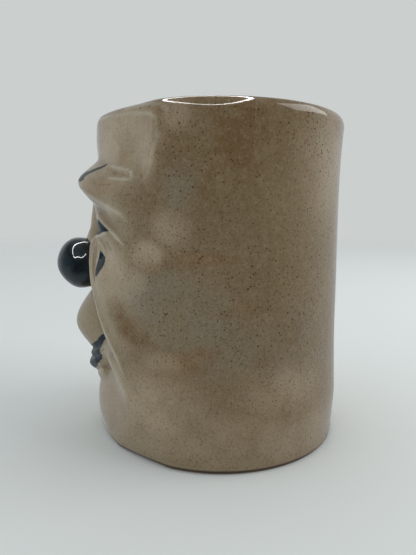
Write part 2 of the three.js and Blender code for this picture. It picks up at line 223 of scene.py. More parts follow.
# Bridge of the nose, fold over the lid, and the lower lip's middle, top and foot, likewise
BRIDGE = [(0, 90, 3.8, 8), (0, 80, 5.2, 7.2), (0, 75, 6.1, 7), (0, 71.5, 6.6, 7), (0, 66, 8.9, 7.6)]
LID_FOLD = [(12, 78, 3.4, 5), (19, 73, 3.8, 5.5), (27, 66.5, 2.8, 6), (34, 59.5, 1.2, 5)]
LIP = [(0, 22.4, 7.3, 5.2), (6, 23.2, 6.6, 5), (11, 25.6, 4.9, 4.4), (15.5, 29.5, 2.3, 3.8)]
LIP_TOP = [(0, 25.6, 6.9, 4.4), (6, 26.5, 6.1, 4.2), (11, 28.6, 4.4, 3.5), (15.5, 31.5, 2, 3)]
LIP_FOOT = [(0, 19, 4.0, 4.4), (7, 19.8, 3.6, 4.2), (12, 22.6, 2.8, 3.6)]


def mouth_cut(m, z):
    """How far the upper lip is undercut at and below the mouth."""
    mouth = MOUTH_MIDDLE + 6.2 * (m / 16) ** 2
    return 9 * step((mouth - z) / 2 + 0.2)


def face_forms(m, z):
    """Height of each form over the thrown body, for m = |s|.

    In order: brow, its tail, bridge, lid fold, eyelid, cheek, cheekbone, smile fold, cheek slope, chin fold,
    upper lip, lower lip, chin, forehead.
    """
    lower_lip = np.maximum(ridge(m, z, LIP, 0.55), ridge(m, z, LIP_TOP, 0.6))
    lower_lip = np.maximum(lower_lip, ridge(m, z, LIP_FOOT, 0.8))
    return [
        mound(m, z, (12, 86.4), 13, 22, 8, 10.4, -14, 8.4, 0.28),
        mound(m, z, (27, 80), 18, 13, 10, 10, -30, 3.0, 0.6),
        ridge(m, z, BRIDGE, 0.5),
        ridge(m, z, LID_FOLD, 0.5),
        mound(m, z, (17, 67), 8, 9, 8.5, 8.5, -30, 4.4, 0.8),
        mound(m, z, (12, 56), 9, 24, 15, 15, 0, 5.2, 0.7),
        mound(m, z, (30, 62), 18, 15, 10, 13, 10, 2.6, 0.8),
        ridge(m, z, FOLD, 0.35),
        ridge(m, z, CHEEK_SLOPE, 0.7),
        ridge(m, z, CHIN_FOLD, 0.5),
        mound(m, z, (0, 37.3), 17, 17, 20, 15.6, 0, 12.4, 0.35) - mouth_cut(m, z),
        lower_lip,
        mound(m, z, (0, 11.5), 21, 21, 15, 16, 0, 3.4, 0.6),
        mound(m, z, (0, 98), 18, 18, 9, 14, 0, 1.5, 0.8),
    ]


# Crisp lines of the face: points, height and half width of the little ridge, how pale the glaze shows on it,
# partly thinner glaze on the edge and partly a painted highlight where it catches the light. In order: smile
# fold, chin fold, three at the lid, brow band, two at the pocket, three round the brow's flat
LINES = [
    ([(9.8, 65), (11.2, 60), (12.6, 53), (16, 47), (19.2, 42.2), (22.4, 38.8), (26, 35.1), (29.7, 30.5),
      (32, 26)], 0.16, 0.42, 0.85),
    ([(16, 28.6), (20, 28.9), (23.6, 28.4), (26.6, 26.6), (29.4, 23.8), (31.6, 20.4), (32.8, 17)],
     0.12, 1.3, 0.6),
    ([(17.4, 76), (19.1, 74.8), (22.2, 73), (25.2, 71.3), (28.3, 69.5), (32.4, 67.2)], 0.28, 0.55, 0.85),
    ([(15.6, 69.9), (17.6, 68.4), (20.2, 67), (21.9, 64.6), (22.2, 63.2)], 0.18, 0.35, 0.7),
    ([(15.6, 68.6), (20.5, 69.3), (24.8, 70.5)], 0.12, 0.35, 0.75),
    ([(7, 86.4), (11, 85.3), (15, 83.6), (18.2, 81.7), (21.2, 79.9), (24.9, 78.5), (29.3, 77.1), (32.3, 75.8),
      (34.6, 74)], 0.04, 0.95, 0.6),
    ([(24, 91), (28, 90.2), (32.1, 89.4), (34.7, 88.4), (35.2, 87), (35, 85.4)], 0.12, 0.4, 0.9),
    ([(25.5, 87), (30, 86.6), (35.2, 86.2)], 0.1, 0.4, 0.8),
    ([(10, 106.1), (24.8, 105.8), (31, 105.5), (37.2, 104.9), (42.6, 104.1), (44.8, 102.9), (45.4, 101.6),
      (45.1, 99)], 0.05, 0.5, 0.65),
    ([(45.1, 100.5), (45.6, 97.4), (44.2, 94.7), (42.8, 91.3), (41.3, 87.7), (37.4, 84.6)], 0.04, 0.8, 0.3),
    ([(28, 107), (37.3, 107), (42.5, 106.7), (46.9, 106.1), (48.9, 104.6), (48.4, 102)], 0.0, 0.55, 0.55),
]

# Hollow beneath the brow's tail, and the pupil's hole: middle and radius
POCKET = [(25, 89.9), (29, 89.3), (32.6, 88.4), (34, 87.6), (34, 86.9), (31, 87.1), (27.5, 87.3)]
PUPIL = (20, 62.6, 0.85)

# Painted marks, on both sides of the face: outline and how strongly the blue-black shows. In order: the
# pupil, the brow, the lid, the dagger beneath the eye, and the two lips
MARKS = [
    ([(18.6, 61.6), (18.9, 63.3), (19.5, 64.7), (20.8, 64), (22, 62.8), (20.4, 61.4)], 1.0),
    ([(11.9, 88.9), (12.3, 87.3), (13.6, 86.4), (15.7, 86.3), (16.9, 86.9), (16.3, 88), (17.4, 88.8),
      (19.2, 89.6), (21.4, 90.5), (23.2, 91.7), (20.8, 91.5), (19, 91), (17.4, 90.5), (15.4, 89.9),
      (13.2, 89.7)], 0.85),
    ([(18.7, 74.8), (20.4, 73.8), (22.4, 72.6), (25.4, 70.9), (22, 70.5), (19.4, 69.8), (15.2, 69.1),
      (15.4, 71.8)], 1.0),
    ([(18.8, 62), (20.6, 62.8), (22.4, 62.9), (22.7, 61), (21.8, 59.3), (20, 57.5), (17.4, 55.3),
      (16.8, 56.2), (17.2, 58.2), (18, 60.4)], 0.95),
    ([(20.4, 38.5), (18.8, 38), (16.2, 36.9), (13.6, 35), (11.7, 32.7), (8, 30.4), (4, 29.5), (-2, 29.3),
      (-2, 26.1), (6, 26.6), (10.5, 27.6), (12.9, 28.6), (13.6, 30.4), (14.1, 33), (16.7, 35.4),
      (19.7, 37.1)], 0.95),
    ([(-2, 26.7), (4.5, 27.1), (9.5, 28), (13, 28.8), (15.3, 28.5), (14.9, 27), (13.2, 25.3), (11.2, 23.3),
      (8, 21.5), (4, 20.6), (-2, 20.4)], 0.95),
]

# Broad tones of the glaze, on the sides where they lie: middle, half width, half height, strength
# Brown tones: partly the glaze's own colour, partly painted shade in the hollow beneath the cheekbone and in
# the crease over the lid
BROWN_TONE_AND_PAINTED_SHADE = [((62, 99), 28, 24, 1.0), ((52, 90), 16, 14, 0.6), ((28, 45.5), 4, 4.5, 1.0), ((32, 41.8), 5, 4, 1.0),
         ((37, 38.8), 5, 2.6, 0.8), ((46, 37), 6, 2, 0.5), ((25, 84), 8, 4, 0.6), ((25.5, 48.5), 3, 3, 0.9),
         ((27, 73.5), 5, 2, 0.7), ((48, 61.5), 9, 1.8, 0.6), ((-52, 92), 22, 16, 0.7), ((-34, 43), 8, 6, 0.6),
         ((-110, 70), 30, 30, 0.4), ((-118, 88), 20, 14, 0.8), ((-90, 52), 12, 5, 0.5)]
# Light tones: partly the glaze's own colour, partly painted light where the cheek, the cheekbone's crest, the
# brow's front and the forehead face the light
LIGHT_TONE_AND_PAINTED_LIGHT = [((24, 57), 15, 9.5, 0.75), ((41, 64.5), 6, 5, 1.0), ((44, 18), 16, 12, 0.8), ((30, 99), 18, 12, 0.9),
         ((41.5, 95.5), 3.5, 11, 1.0), ((27, 87), 12, 6, 0.7), ((8, 12), 24, 14, 0.45),
         ((70, 9), 50, 10, 0.5), ((100, 96), 15, 21, 0.6), ((48, 72), 7, 6, 0.6), ((84, 24), 14, 9, 0.55),
         ((36.5, 57), 5, 5, 0.6), ((51, 103), 5, 5, 0.6), ((46, 32), 7, 4, 0.5), ((-30, 58), 16, 16, 0.6),
         ((-42, 20), 14, 12, 0.6), ((-70, 9), 50, 10, 0.4), ((-100, 20), 22, 10, 0.6),
         ((-88, 68), 14, 8, 0.3), ((128, 12), 24, 9, 0.5)]
GREY = [((44, 52), 15, 9, 1.0), ((61, 46), 9, 9, 0.8), ((51, 84.5), 6, 8, 0.9), ((66, 38), 12, 8, 0.6),
        ((48, 40), 7, 5, 0.6), ((-50, 60), 16, 12, 0.8), ((-85, 40), 22, 14, 0.5), ((88, 38), 16, 13, 0.6),
        ((-108, 54), 16, 10, 0.8), ((126, 78), 8, 12, 0.5)]
RUST = [((52, 33), 7, 3.5, 1.0), ((60, 36.5), 5, 2.5, 0.8), ((48, 27), 6, 4, 0.5), ((66, 49), 10, 3, 0.4),
        ((29, 17), 5, 3.5, 0.6), ((22, 84.5), 6, 3, 1.0), ((29, 92), 2.4, 5, 0.8), ((58, 64), 12, 2.2, 0.7),
        ((43, 60.6), 3, 1.6, 0.8), ((78, 16), 16, 6, 0.4), ((-48, 40), 9, 6, 0.7), ((-70, 75), 8, 6, 0.4),
        ((-98, 42), 14, 3.5, 0.8), ((-124, 64), 8, 3, 0.6), ((-80, 28), 9, 4, 0.5)]


def ball_inner(s, z):
    """Radius at which a line straight out of the axis enters the nose ball, and huge beside it."""
    out = wall_surface(0.0, BALL_LEVEL) + BALL_GAP + BALL_RADIUS
    turn = s / LAYOUT_RADIUS
    beside = (out * np.sin(turn)) ** 2 + (z - BALL_LEVEL) ** 2
    half = np.sqrt(np.clip(BALL_RADIUS ** 2 - beside, 0, None))
    return np.where((beside < BALL_RADIUS ** 2) & (np.abs(turn) < 1), out * np.cos(turn) - half, 1e9)


def skin(s, z):
    """Radius of the finished outside."""
    s, z = np.broadcast_arrays(np.asarray(s, float), np.asarray(z, float))
    m = np.abs(s)
    press = flat_press(s, z)
    high = press
    for form in face_forms(m, z):
        high = soft_max(high, form, BLEND)
    near = m < FACE_REACH
    detail = np.zeros(s.shape)
    for line, rise, wide, _ in LINES:
        distance, _ = line_distance(m[near], z[near], line)
        detail[near] += rise * np.exp(-(distance / wide) ** 2)
    pocket = inside_distance(m[near], z[near], POCKET)
    detail[near] -= POCKET_DEEP * step(pocket / 1.4 + 0.3)
    hole = np.hypot(m - PUPIL[0], z - PUPIL[1])
    detail -= PUPIL_DEEP * step((PUPIL[2] + 0.25 - hole) / 0.5)
    foot_fade = 1 - 0.75 * np.clip(1 - z / 6, 0, 1) ** 2
    turn = s / LAYOUT_RADIUS
    # Slightly uneven, as thrown by hand
    hand = 0.1 * np.sin(3 * turn + 0.045 * z + 1) + 0.07 * np.sin(5 * turn - 0.09 * z) - 0.1
    hand = hand * step(z / 20) * step((MUG_HEIGHT - z) / 20) - INSET
    radius = body_radius(s, z) + press + (high - press + detail) * foot_fade - foot_cut(z) + hand
    return np.minimum(radius, ball_inner(s, z) - 0.05)


def place(s, z, radius):
    """Point in the CAD's frame, in metres, for a layout point and its radius."""
    turn = s / LAYOUT_RADIUS
    return np.stack([radius * np.sin(turn), -radius * np.cos(turn), z], -1) * MM


def skin_normal(s, z):
    """The finished outside's own normal, from its slopes."""
    d = 0.12
    rs = (skin(s + d, z) - skin(s - d, z)) / (2 * d)
    rz = (skin(s, z + d) - skin(s, z - d)) / (2 * d)
    r = skin(s, z)
    turn = s / LAYOUT_RADIUS
    sin, cos = np.sin(turn), np.cos(turn)
    along = np.stack([rs * sin + r * cos / LAYOUT_RADIUS, -rs * cos + r * sin / LAYOUT_RADIUS, 0 * r], -1)
    up = np.stack([rz * sin, -rz * cos, 1 + 0 * r], -1)
    normal = np.cross(along, up)
    return normal / np.linalg.norm(normal, axis=-1, keepdims=True)


def ring_average(s, z, reach):
    """Mean radius of the outside on a small ring round each point, to find its edges and hollows."""
    around = np.linspace(0, 2 * np.pi, 9)[:-1]
    return sum(skin(s + reach * math.cos(a), z + reach * math.sin(a)) for a in around) / len(around)


def glaze_marks(s, z):
    """Per-point values that the glaze reads.

    paint: distance inside a painted mark, and ink its strength; pale: thin glaze on edges, with a painted
    highlight along some crisp lines; pool: thick glaze in hollows; brown, grey, rust, light: broad tones, the
    brown partly painted shade and the light partly painted light; face: the clearer glaze of the face, partly
    painted light on its side towards the bright left; panel: the brushed flat over the brow.
    """
    m = np.abs(s)
    paint, ink = np.full(s.shape, NO_PAINT), np.ones(s.shape)
    near = (m < 40) & (z < 100)
    for outline, strength in MARKS:
        inside = np.full(s.shape, NO_PAINT)
        inside[near] = inside_distance(m[near], z[near], outline)
        ink = np.where(inside > paint, strength, ink)
        paint = np.maximum(paint, inside)
    # Paler along the crisp lines: partly thinner glaze, partly a painted highlight; then thinner glaze on all
    # sharp edges
    pale = np.zeros(s.shape)
    near = m < FACE_REACH
    for line, _, wide, strength in LINES:
        distance, along = line_distance(m[near], z[near], line)
        ends = step(np.minimum(along, 1 - along) / 0.16)
        pale[near] = np.maximum(pale[near], strength * ends * np.exp(-(distance / (0.9 * wide)) ** 2))
    r = skin(s, z)
    fine = ring_average(s, z, 0.9) - r
    broad = ring_average(s, z, 2.8) - r
    pale = np.maximum(pale, step(-fine / 0.16 - 0.25) * 0.6)
    pale = np.maximum(pale, step(-broad / 0.9 - 0.2) * 0.35)
    pool = np.clip(step(broad / 0.8 - 0.15) + step(fine / 0.14 - 0.4) * 0.6, 0, 1)
    # Paler on the face: partly a clearer glaze, partly painted light on the face's side towards the bright
    # left
    face = step((42 - m) / 16) * step((88 - z) / 10) * (0.55 + 0.45 * step((z - 6) / 18))
    border = 45.4 - 0.64 * np.clip(97.4 - z, 0, None)
    panel = step((border - m) / 1.4 + 0.5) * step((z - 83) / 5) * step((105.8 - z) / 0.8)
    return {"paint": paint, "ink": ink, "pale": pale, "pool": pool, "brown": patches(s, z, BROWN_TONE_AND_PAINTED_SHADE),
            "grey": patches(s, z, GREY), "rust": patches(s, z, RUST), "light": patches(s, z, LIGHT_TONE_AND_PAINTED_LIGHT),
            "face": np.maximum(face, panel), "panel": panel}


def patches(s, z, blobs):
    """Strength of a broad tone, whose soft ovals reach on across the back's seam."""
    total = np.zeros(s.shape)
    for at, wide, tall, strength in blobs:
        aside = (s - at[0] + HALF_TURN) % (2 * HALF_TURN) - HALF_TURN
        reach = np.hypot(aside / wide, (z - at[1]) / tall)
        total = np.maximum(total, strength * step(1.35 - reach))
    return total


# Outlines of the clay pads, as in the CAD

JAW = 4.0
CHEEK_TOP = 67.0
CHEEK_FOOT_END = 36.0
BRIDGE_HALF = 7.5
FOLD_START = 57.0
FOLD_SPREAD = 24.0
FOLD_BEND = 1.2
EYE_OUTER = 34.0
BROW_END = (41.5, 78.0)
MOUTH_CORNER = 33.2
LIP_FOOT_MIDDLE = 17.0
LIP_FOOT_CORNER = 26.5


def fold_at(z):
    """The crease that parts the cheek from the nose, lips and chin."""
    drop = np.clip(FOLD_START - z, 0, None) / (FOLD_START - JAW)
    return BRIDGE_HALF + FOLD_SPREAD * drop ** FOLD_BEND


def lip_foot_line(s):
    return LIP_FOOT_MIDDLE + (LIP_FOOT_CORNER - LIP_FOOT_MIDDLE) * (s / fold_at(LIP_FOOT_CORNER)) ** 2


def mouth_line(s):
    return MOUTH_MIDDLE + (MOUTH_CORNER - MOUTH_MIDDLE) * (s / fold_at(MOUTH_CORNER)) ** 2


def brow_foot(s):
    return 79.4 - 14.4 * (np.abs(s) / 38) ** 2.6


def lid_foot(s):
    t = (s - BRIDGE_HALF) / (EYE_OUTER - BRIDGE_HALF)
    return CHEEK_TOP - 3 * t - 3 * np.sin(np.pi * t)


def points(s, z):
    return np.stack(np.broadcast_arrays(s, z), -1)


# Each outline is a function that gives its points for t from 0 to 1

def across(start, end, height):
    def at(t):
        s = start + t * (end - start)
        return points(s, height(s))
    return at


def along_fold(low, high, side=1):
    def at(t):
        z = low + t * (high - low)
        return points(side * fold_at(z), z)
    return at


def spline(*knots):
    knots = np.array(knots, float)

    def at(t):
        t = np.asarray(t, float) * (len(knots) - 1)
        k = np.clip(np.floor(t).astype(int), 0, len(knots) - 2)
        w = (t - k)[..., None]
        p0, p1 = knots[np.maximum(k - 1, 0)], knots[k]
        p2, p3 = knots[k + 1], knots[np.minimum(k + 2, len(knots) - 1)]
        v0, v1 = (p2 - p0) / 2, (p3 - p1) / 2
        return (2 * p1 - 2 * p2 + v0 + v1) * w ** 3 + (3 * p2 - 3 * p1 - 2 * v0 - v1) * w ** 2 + v0 * w + p1
    return at


def join(bottom, top, end):
    """Straight side between the same end of two outlines."""
    a, b = bottom(np.array(float(end))), top(np.array(float(end)))
    return lambda t: a + np.asarray(t)[..., None] * (b - a)


def level(z):
    return lambda s: z + 0 * s


brow_top = spline((0, 94), (14, 94), (27, 91.5), (36, 86.5), BROW_END)
temple = (EYE_OUTER, float(lid_foot(EYE_OUTER)))
cheek_side = spline((CHEEK_FOOT_END, JAW), (38, 20), (39, 35), (45, 48), (44, 60), temple)


def closed(bottom, top):
    """Four sides of a patch whose left and right are straight."""
    return bottom, top, join(bottom, top, 0), join(bottom, top, 1)


def middle(bottom_level, low, top_level, high):
    """Four sides of a patch that lies between the two creases."""
    return (across(-fold_at(low), fold_at(low), bottom_level),
            across(-fold_at(high), fold_at(high), top_level),
            along_fold(low, high, -1), along_fold(low, high))


# Each pad's bottom, top, left and right side, and its columns and rows
PADS = {
    "brow": (closed(across(0, EYE_OUTER, brow_foot), brow_top), 90, 46),
    "eyelid": (closed(across(BRIDGE_HALF, EYE_OUTER, lid_foot),
                      across(BRIDGE_HALF, EYE_OUTER, brow_foot)), 66, 34),
    "cheek": ((across(fold_at(JAW), CHEEK_FOOT_END, level(JAW)), across(BRIDGE_HALF, EYE_OUTER, lid_foot),
               along_fold(JAW, CHEEK_TOP), cheek_side), 66, 136),
    "nose_bridge": (closed(across(-BRIDGE_HALF, BRIDGE_HALF, level(BALL_LEVEL)),
                           across(-BRIDGE_HALF, BRIDGE_HALF, brow_foot)), 34, 50),
    "upper_lip": (middle(mouth_line, MOUTH_CORNER, level(BALL_LEVEL), BALL_LEVEL), 76, 76),
    "lower_lip": (middle(lip_foot_line, LIP_FOOT_CORNER, mouth_line, MOUTH_CORNER), 90, 28),
    "chin": (middle(level(JAW), JAW, lip_foot_line, LIP_FOOT_CORNER), 116, 50),
}


def patch(sides, columns, rows):
    """Grid of layout points spanned between four sides."""
    bottom, top, left, right = sides
    u, v = np.meshgrid(np.linspace(0, 1, columns + 1), np.linspace(0, 1, rows + 1), indexing="ij")
    uu, vv = u[..., None], v[..., None]
    ends = [f(np.array(float(e))) for f in (bottom, top) for e in (0, 1)]
    grid = bottom(u) * (1 - vv) + top(u) * vv + left(v) * (1 - uu) + right(v) * uu
    grid -= (ends[0] * (1 - uu) * (1 - vv) + ends[1] * uu * (1 - vv)
             + ends[2] * (1 - uu) * vv + ends[3] * uu * vv)
    return grid[..., 0], grid[..., 1]


def face_outline():
    """The outer border of all the pads, both sides."""
    t = np.linspace(0, 1, 61)
    right = list(map(tuple, cheek_side(t)))
    temple_line = [(EYE_OUTER, float(z)) for z in np.linspace(temple[1], float(brow_foot(EYE_OUTER)), 8)]
    brow_side = list(map(tuple, join(across(0, EYE_OUTER, brow_foot), brow_top, 1)(np.linspace(0, 1, 12))))
    top = list(map(tuple, brow_top(t[::-1])))
    half = right + temple_line + brow_side + top
    return half + [(-s, z) for s, z in half[::-1]]


# Meshes

def make_object(name, vertices, faces, materials, values=None, corner_normals=None, face_material=None):
    """A smooth-shaded object from an array of points and an array or a list of faces."""
    mesh = bpy.data.meshes.new(name)
    mesh.from_pydata(vertices.tolist(), [], faces if isinstance(faces, list) else faces.tolist())
    for material in materials:
        mesh.materials.append(material)
    if face_material is not None:
        mesh.polygons.foreach_set("material_index", face_material.astype(np.int32))
    mesh.polygons.foreach_set("use_smooth", np.ones(len(faces), bool))
    for key, value in (values or {}).items():
        mesh.attributes.new(key, "FLOAT", "POINT").data.foreach_set("value", value.astype(np.float32).ravel())
    mesh.update()
    if corner_normals is not None:
        mesh.normals_split_custom_set(corner_normals.reshape(-1, 3).tolist())
    piece = bpy.data.objects.new(name, mesh)
    bpy.context.scene.collection.objects.link(piece)
    return piece


def face_normals(vertices, faces):
    a, b, c, d = (vertices[faces[:, k]] for k in range(4))
    normal = np.cross(c - a, d - b)
    return normal / np.maximum(np.linalg.norm(normal, axis=1, keepdims=True), 1e-12)


def smooth_normals(vertices, faces):
    """Each point's mean of the normals of the faces round it."""
    flat = face_normals(vertices, faces)
    total = np.zeros_like(vertices)
    for k in range(faces.shape[1]):
        np.add.at(total, faces[:, k], flat)
    return total / np.maximum(np.linalg.norm(total, axis=1, keepdims=True), 1e-12)


def grid_quads(columns, rows, start=0):
    i, j = np.meshgrid(np.arange(columns), np.arange(rows), indexing="ij")
    a = start + (i * (rows + 1) + j).ravel()
    return np.stack([a, a + rows + 1, a + rows + 2, a + 1], 1)


def round_quads(around, rows, closed_rows=False):
    """Quads of a grid that closes on itself round the axis, and along its rows too if asked; their rows."""
    i, j = np.meshgrid(np.arange(around), np.arange(rows if closed_rows else rows - 1), indexing="ij")
    here, beside, after = i * rows, (i + 1) % around * rows, (j + 1) % rows
    return np.stack([here + j, beside + j, beside + after, here + after], -1).reshape(-1, 4), j.ravel()


def add_piece(name, node, slot, *args, **kwargs):
    """Makes one of the mug's pieces, which takes the place of its CAD node."""
    piece = make_object(name, *args, **kwargs)
    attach(piece, "root")
    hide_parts(node)
    return piece


def pad(name, key, mirror, material):
    """A pad of the face's clay: its top is the finished outside, its bed follows the wall."""
    sides, columns, rows = PADS[key]
    s, z = patch(sides, columns, rows)
    if mirror:
        s, z = -s[::-1], z[::-1]
    top = skin(s, z)
    bed = np.minimum(wall_surface(s, z) + 0.05, top - PAD_EDGE)
    count = s.size
    vertices = np.concatenate([place(s, z, top).reshape(-1, 3), place(s, z, bed).reshape(-1, 3)])
    upper = grid_quads(columns, rows)
    lower = grid_quads(columns, rows, count)[:, ::-1]
    at = np.arange(count).reshape(columns + 1, rows + 1)
    loop = np.concatenate([at[:-1, 0], at[-1, :-1], at[:0:-1, -1], at[0, :0:-1]])
    after = np.roll(loop, -1)
    rim = np.stack([loop + count, after + count, after, loop], 1)
    faces = np.concatenate([upper, lower, rim])
    normals = np.repeat(face_normals(vertices, faces)[:, None], 4, 1)
    normals[: len(upper)] = skin_normal(s, z).reshape(-1, 3)[upper]
    values = {k: np.concatenate([v.ravel(), v.ravel()]) for k, v in glaze_marks(s, z).items()}
    add_piece(name, name, "speckled_glaze", vertices, faces, [material], values, normals)


# What the glaze reads inside the mug
PLAIN = {"paint": NO_PAINT, "ink": 1.0, "pool": 0.2, "brown": 0.3, "grey": 0.2}


def bore_radius(s, z):
    """The inside, with its spiral of throwing rings."""
    rings = RING_DEEP * np.sin(2 * np.pi * (z / RING_RISE + s / (2 * HALF_TURN)))
    fade = step((z - FLOOR_TOP - 4) / 8) * step((102 - z) / 8)
    return body_radius(s, z) + flat_press(s, z) - WALL + rings * fade


def spread(*runs):
    """Values in runs of (start, end, step), without repeats."""
    out = []
    for start, end, gap in runs:
        out.append(np.linspace(start, end, max(1, round(abs(end - start) / gap)), endpoint=False))
    return np.concatenate(out)


def wall(glaze, bare):
    """The wall, as one closed grid: up the outside, over the lip, down the bore and across the foot."""
    s = spread((-HALF_TURN, -FINE_TO, 1.5), (-FINE_TO, FINE_TO, 0.62), (FINE_TO, HALF_TURN, 1.5))
    lip_base = MUG_HEIGHT - LIP_DROP
    z_out = spread((0, 2.4, 0.3), (2.4, 100, 0.72), (100, lip_base, 0.5))
    z_in = spread((lip_base, 0.4, 1.1))
    S, Z = np.meshgrid(s, z_out, indexing="ij")

    # Outside, sunk beneath the pads
    outside = skin(S, Z)
    deep = np.full(S.shape, -9.0)
    near = (np.abs(S) < 50) & (Z < 96)
    deep[near] = inside_distance(S[near], Z[near], face_outline())
    hidden = np.minimum(wall_surface(S, Z), outside - SINK)
    under = outside - SINK + (hidden - outside + SINK) * step((deep - 0.8) / 1.4)
    outside = np.where(deep > 0.04, under, outside)

    turns = np.linspace(0, np.pi, 15)[:-1]
    crown = skin(s, lip_base) - WALL / 2
    lip_r = crown[:, None] + WALL / 2 * np.cos(turns)
    lip_z = lip_base + LIP_DROP * np.sin(turns) + 0 * lip_r
    S_in, Z_in = np.meshgrid(s, z_in, indexing="ij")
    inner = bore_radius(S_in, Z_in)
    first = (crown - WALL / 2)[:, None] - inner[:, :1]
    inner = inner + first * step(1 - (lip_base - Z_in) / 12)
    foot_in = bore_radius(s, np.zeros_like(s))
    foot_out = wall_surface(s, np.zeros_like(s))
    share = np.linspace(0, 1, 5)[1:-1]
    foot_r = np.stack([foot_in + EDGE_CUT, *(foot_in + (foot_out - foot_in) * t for t in share)], 1)

    radius = np.concatenate([outside, lip_r, inner, foot_r], 1)
    high = np.concatenate([Z, lip_z, Z_in, np.zeros_like(foot_r)], 1)
    S_all = np.repeat(s[:, None], radius.shape[1], 1)
    vertices = place(S_all, high, radius).reshape(-1, 3)
    columns, rows = radius.shape
    faces, row = round_quads(columns, rows, True)

    # The glaze's marks lie on the outside and on the lip's outer half
    values = {}
    for key, value in glaze_marks(S, Z).items():
        values[key] = np.full((columns, rows), PLAIN.get(key, 0.0))
        values[key][:, : len(z_out)] = value
    half_lip = (len(turns) + 1) // 2
    lip_s, lip_z_out = np.broadcast_arrays(s[:, None], lip_z[:, :half_lip])
    for key, value in glaze_marks(lip_s, lip_z_out).items():
        values[key][:, len(z_out): len(z_out) + half_lip] = value
    over_lip = slice(len(z_out) + half_lip, len(z_out) + len(turns))
    values["brown"][:, over_lip] = 0.5

    # The outside's normals are exact, the foot's point down, all others are the mesh's own
    normals = smooth_normals(vertices, faces)[faces]
    exact = np.zeros((columns * rows, 3))
    exact.reshape(columns, rows, 3)[:, : len(z_out)] = skin_normal(S, Z)
    on_outside = row < len(z_out) - 1
    normals[on_outside] = exact[faces[on_outside]]
    face_top = high.ravel()[faces].max(1)
    normals[face_top < 0.05] = (0, 0, -1)
    add_piece("wall", "wall", "speckled_glaze", vertices, faces, [glaze, bare], values, normals,
              (face_top < BARE_LEVEL).astype(int))


def floor_disc(glaze, bare):
    """The disc that closes the bottom: bare beneath, and a swirl of the potter's finger above."""
    around, under, over = 144, 16, 64
    turn = np.linspace(0, 2 * np.pi, around, endpoint=False)
    s = np.where(turn > np.pi, turn - 2 * np.pi, turn) * LAYOUT_RADIUS
    edge = bore_radius(s, np.full_like(s, FLOOR_TOP)) - 0.04
    low_edge = bore_radius(s, np.zeros_like(s)) - 0.15
    radius = [low_edge * t for t in np.linspace(0.02, 1, under)]
    radius[-1] = low_edge - EDGE_CUT
    height = [np.zeros_like(s)] * under
    radius += [low_edge, low_edge]
    height += [np.full_like(s, EDGE_CUT), np.full_like(s, 1.0)]
    for t in np.linspace(0.012, 1, over)[::-1]:
        r = edge * t
        swirl = 0.28 * np.cos(2 * np.pi * (r / 6.5) - turn) * step((1 - t) / 0.15) * step(t / 0.12)
        fillet = np.clip(t - 0.9, 0, None) ** 2 * 230
        radius.append(r)
        height.append(FLOOR_TOP - 0.5 * (1 - t) + swirl + fillet)
    radius, height = np.stack(radius, 1), np.stack(height, 1)
    vertices = np.stack([radius * np.sin(turn)[:, None], -radius * np.cos(turn)[:, None], height], -1)
    vertices = vertices.reshape(-1, 3) * MM
    rows = radius.shape[1]
    quads, row = round_quads(around, rows)
    first = np.arange(around) * rows
    faces = quads.tolist() + [first[::-1].tolist(), (first + rows - 1).tolist()]
    values = {key: np.full(len(vertices), value) for key, value in PLAIN.items()}
    piece = add_piece("floor", "floor", "raw_clay", vertices, faces, [glaze, bare], values, None,
                      np.concatenate([row < under, [True, False]]))
    piece.data.set_sharp_from_angle(angle=math.radians(40))


# How the ball is off a sphere, as seen from the photograph's side: angle, spread in degrees, height
BALL_PINCHES = ((62, 30, 0.5), (-40, 26, -0.36), (-88, 24, 0.25))
BALL_INSET = 0.1
BALL_LIFT = 0.2


def nose_ball(material):
    """The nose: a ball rolled by hand, a little flattened beneath."""
    around, up = 160, 96
    turn = np.linspace(0, 2 * np.pi, around, endpoint=False)
    rise = np.linspace(-np.pi / 2, np.pi / 2, up + 1)[1:-1]
    T, R = np.meshgrid(turn, rise, indexing="ij")
    unit = np.stack([np.cos(R) * np.cos(T), np.cos(R) * np.sin(T), np.sin(R)], -1)
    low = step((-unit[..., 2] - 0.55) / 0.45)
    wobble = 0.05 * np.sin(3 * T + 1) * np.cos(R) + 0.04 * np.sin(2 * T) * np.sin(2 * R)
    front = np.arctan2(unit[..., 2], -unit[..., 1])
    pinch = sum(high * np.exp(-((front - math.radians(at)) / math.radians(wide)) ** 2)
                for at, wide, high in BALL_PINCHES)
    wobble += pinch * step((0.2 - unit[..., 1]) / 0.6)
    shape = unit * (BALL_RADIUS - BALL_INSET + wobble)[..., None]
    shape[..., 2] += BALL_LIFT * low
    out = wall_surface(0.0, BALL_LEVEL) + BALL_GAP + BALL_RADIUS
    centre = np.array([0, -out, BALL_LEVEL])
    poles = np.array([[0, 0, -BALL_RADIUS + 0.24], [0, 0, BALL_RADIUS - 0.03]])
    vertices = (np.concatenate([shape.reshape(-1, 3), poles]) + centre) * MM
    rows = up - 1
    south, north = around * rows, around * rows + 1
    columns = [(k * rows, (k + 1) % around * rows) for k in range(around)]
    ends = [[after, here, south] for here, after in columns]
    ends += [[here + rows - 1, after + rows - 1, north] for here, after in columns]
    add_piece("nose_ball", "nose_ball", "dark_glaze", vertices, round_quads(around, rows)[0].tolist() + ends,
              [material])


# Materials

